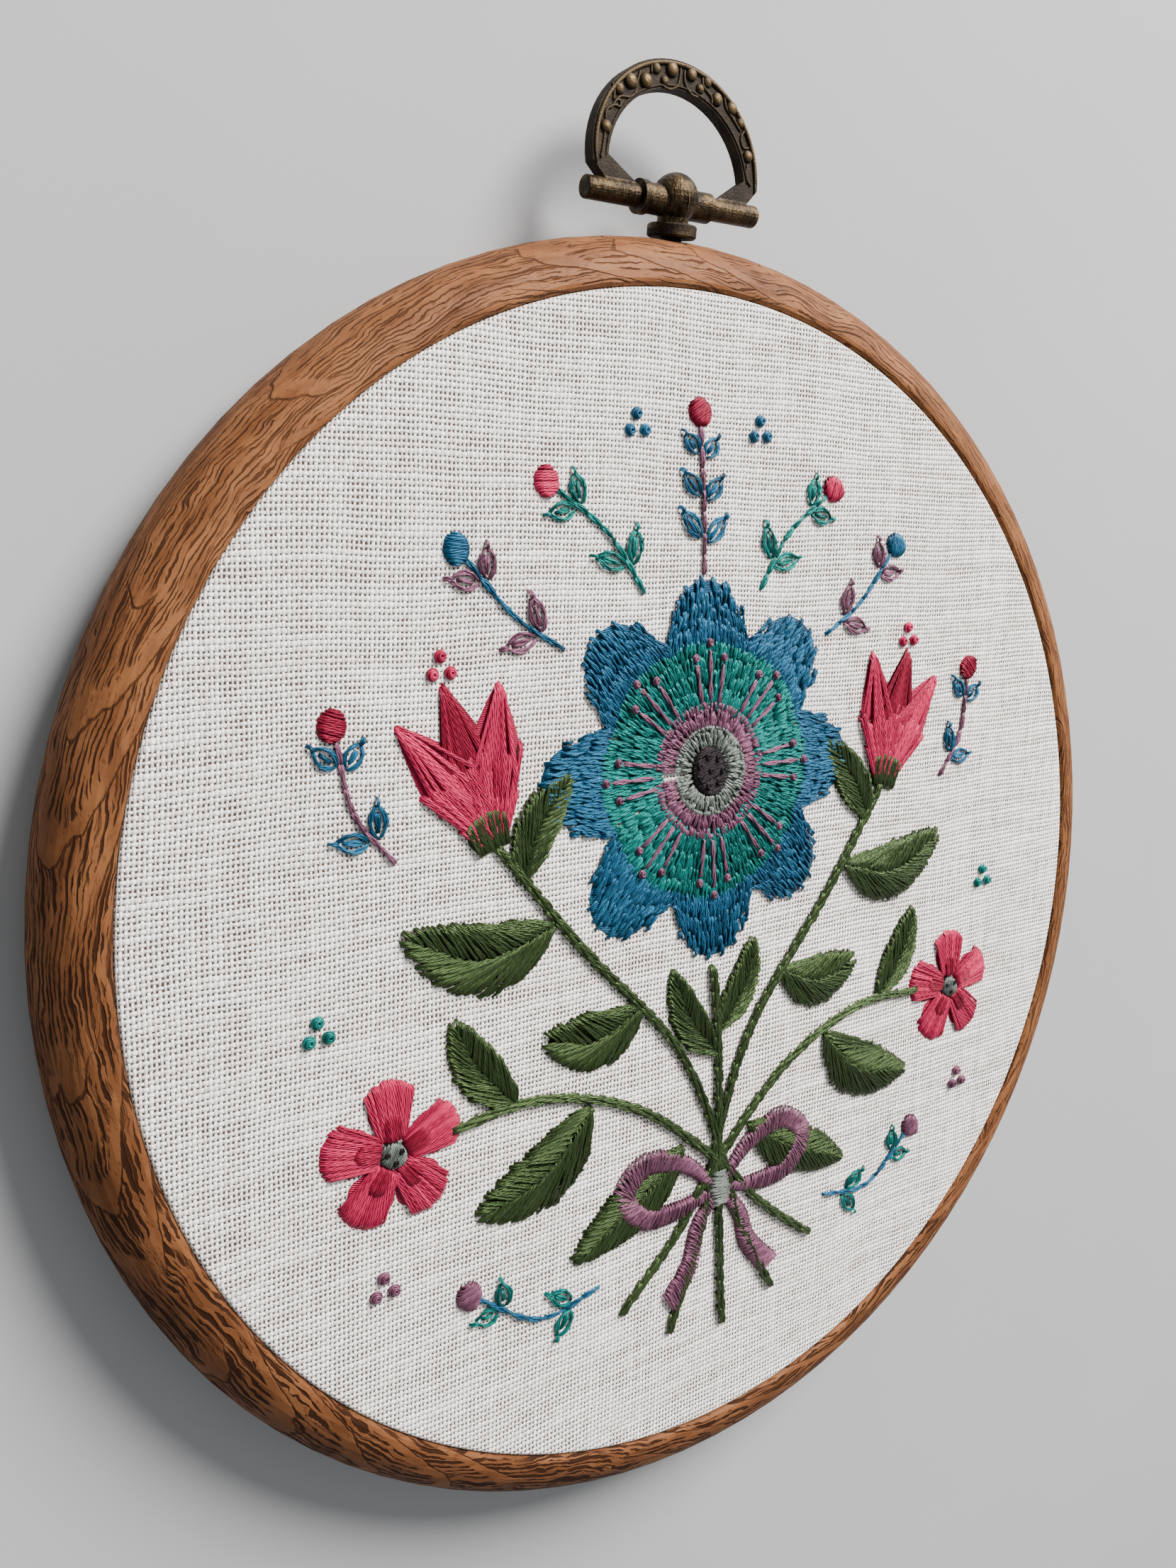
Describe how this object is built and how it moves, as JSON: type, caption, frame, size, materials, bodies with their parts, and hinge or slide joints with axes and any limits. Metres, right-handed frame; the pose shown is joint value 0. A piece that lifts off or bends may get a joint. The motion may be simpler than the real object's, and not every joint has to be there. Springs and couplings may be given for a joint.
{
  "type": "embroidery hoop art: embroidered cloth in its round hoop with a hanger",
  "caption": "Cotton with a stitched flower motif stretched in a round woodgrain hoop, with a cast bronze bail that swings on a ball stud for hanging it.",
  "frame": {"origin": "on the resting surface, under the middle of the whole part, hanger included", "axes": "+Z out of the cloth's face, +Y from the hoop's middle to the hanger, +X to the right seen from the front"},
  "size_m": [0.1582, 0.1776, 0.0119],
  "materials": {
    "woodgrain_vinyl": "satin orange-brown with engraved dark grain",
    "cream_plastic": "smooth, plain",
    "warm_white_cotton": "open plain weave, matt",
    "antique_bronze": "dark, rubbed to brass on its high spots"
  },
  "bodies": {
    "hoop": {"outer_hoop": "woodgrain_vinyl", "inner_hoop": "cream_plastic", "cloth": "warm_white_cotton", "hanger_stud": "antique_bronze"},
    "bail": {"hanger_bail": "antique_bronze"}
  },
  "joints": [
    {"name": "bail_hinge", "type": "hinge", "parent": "hoop", "child": "bail", "pos_m": [0, 0.0734, 0.00766], "axis": [1, 0, 0], "range_deg": [-110, 125]}
  ]
}
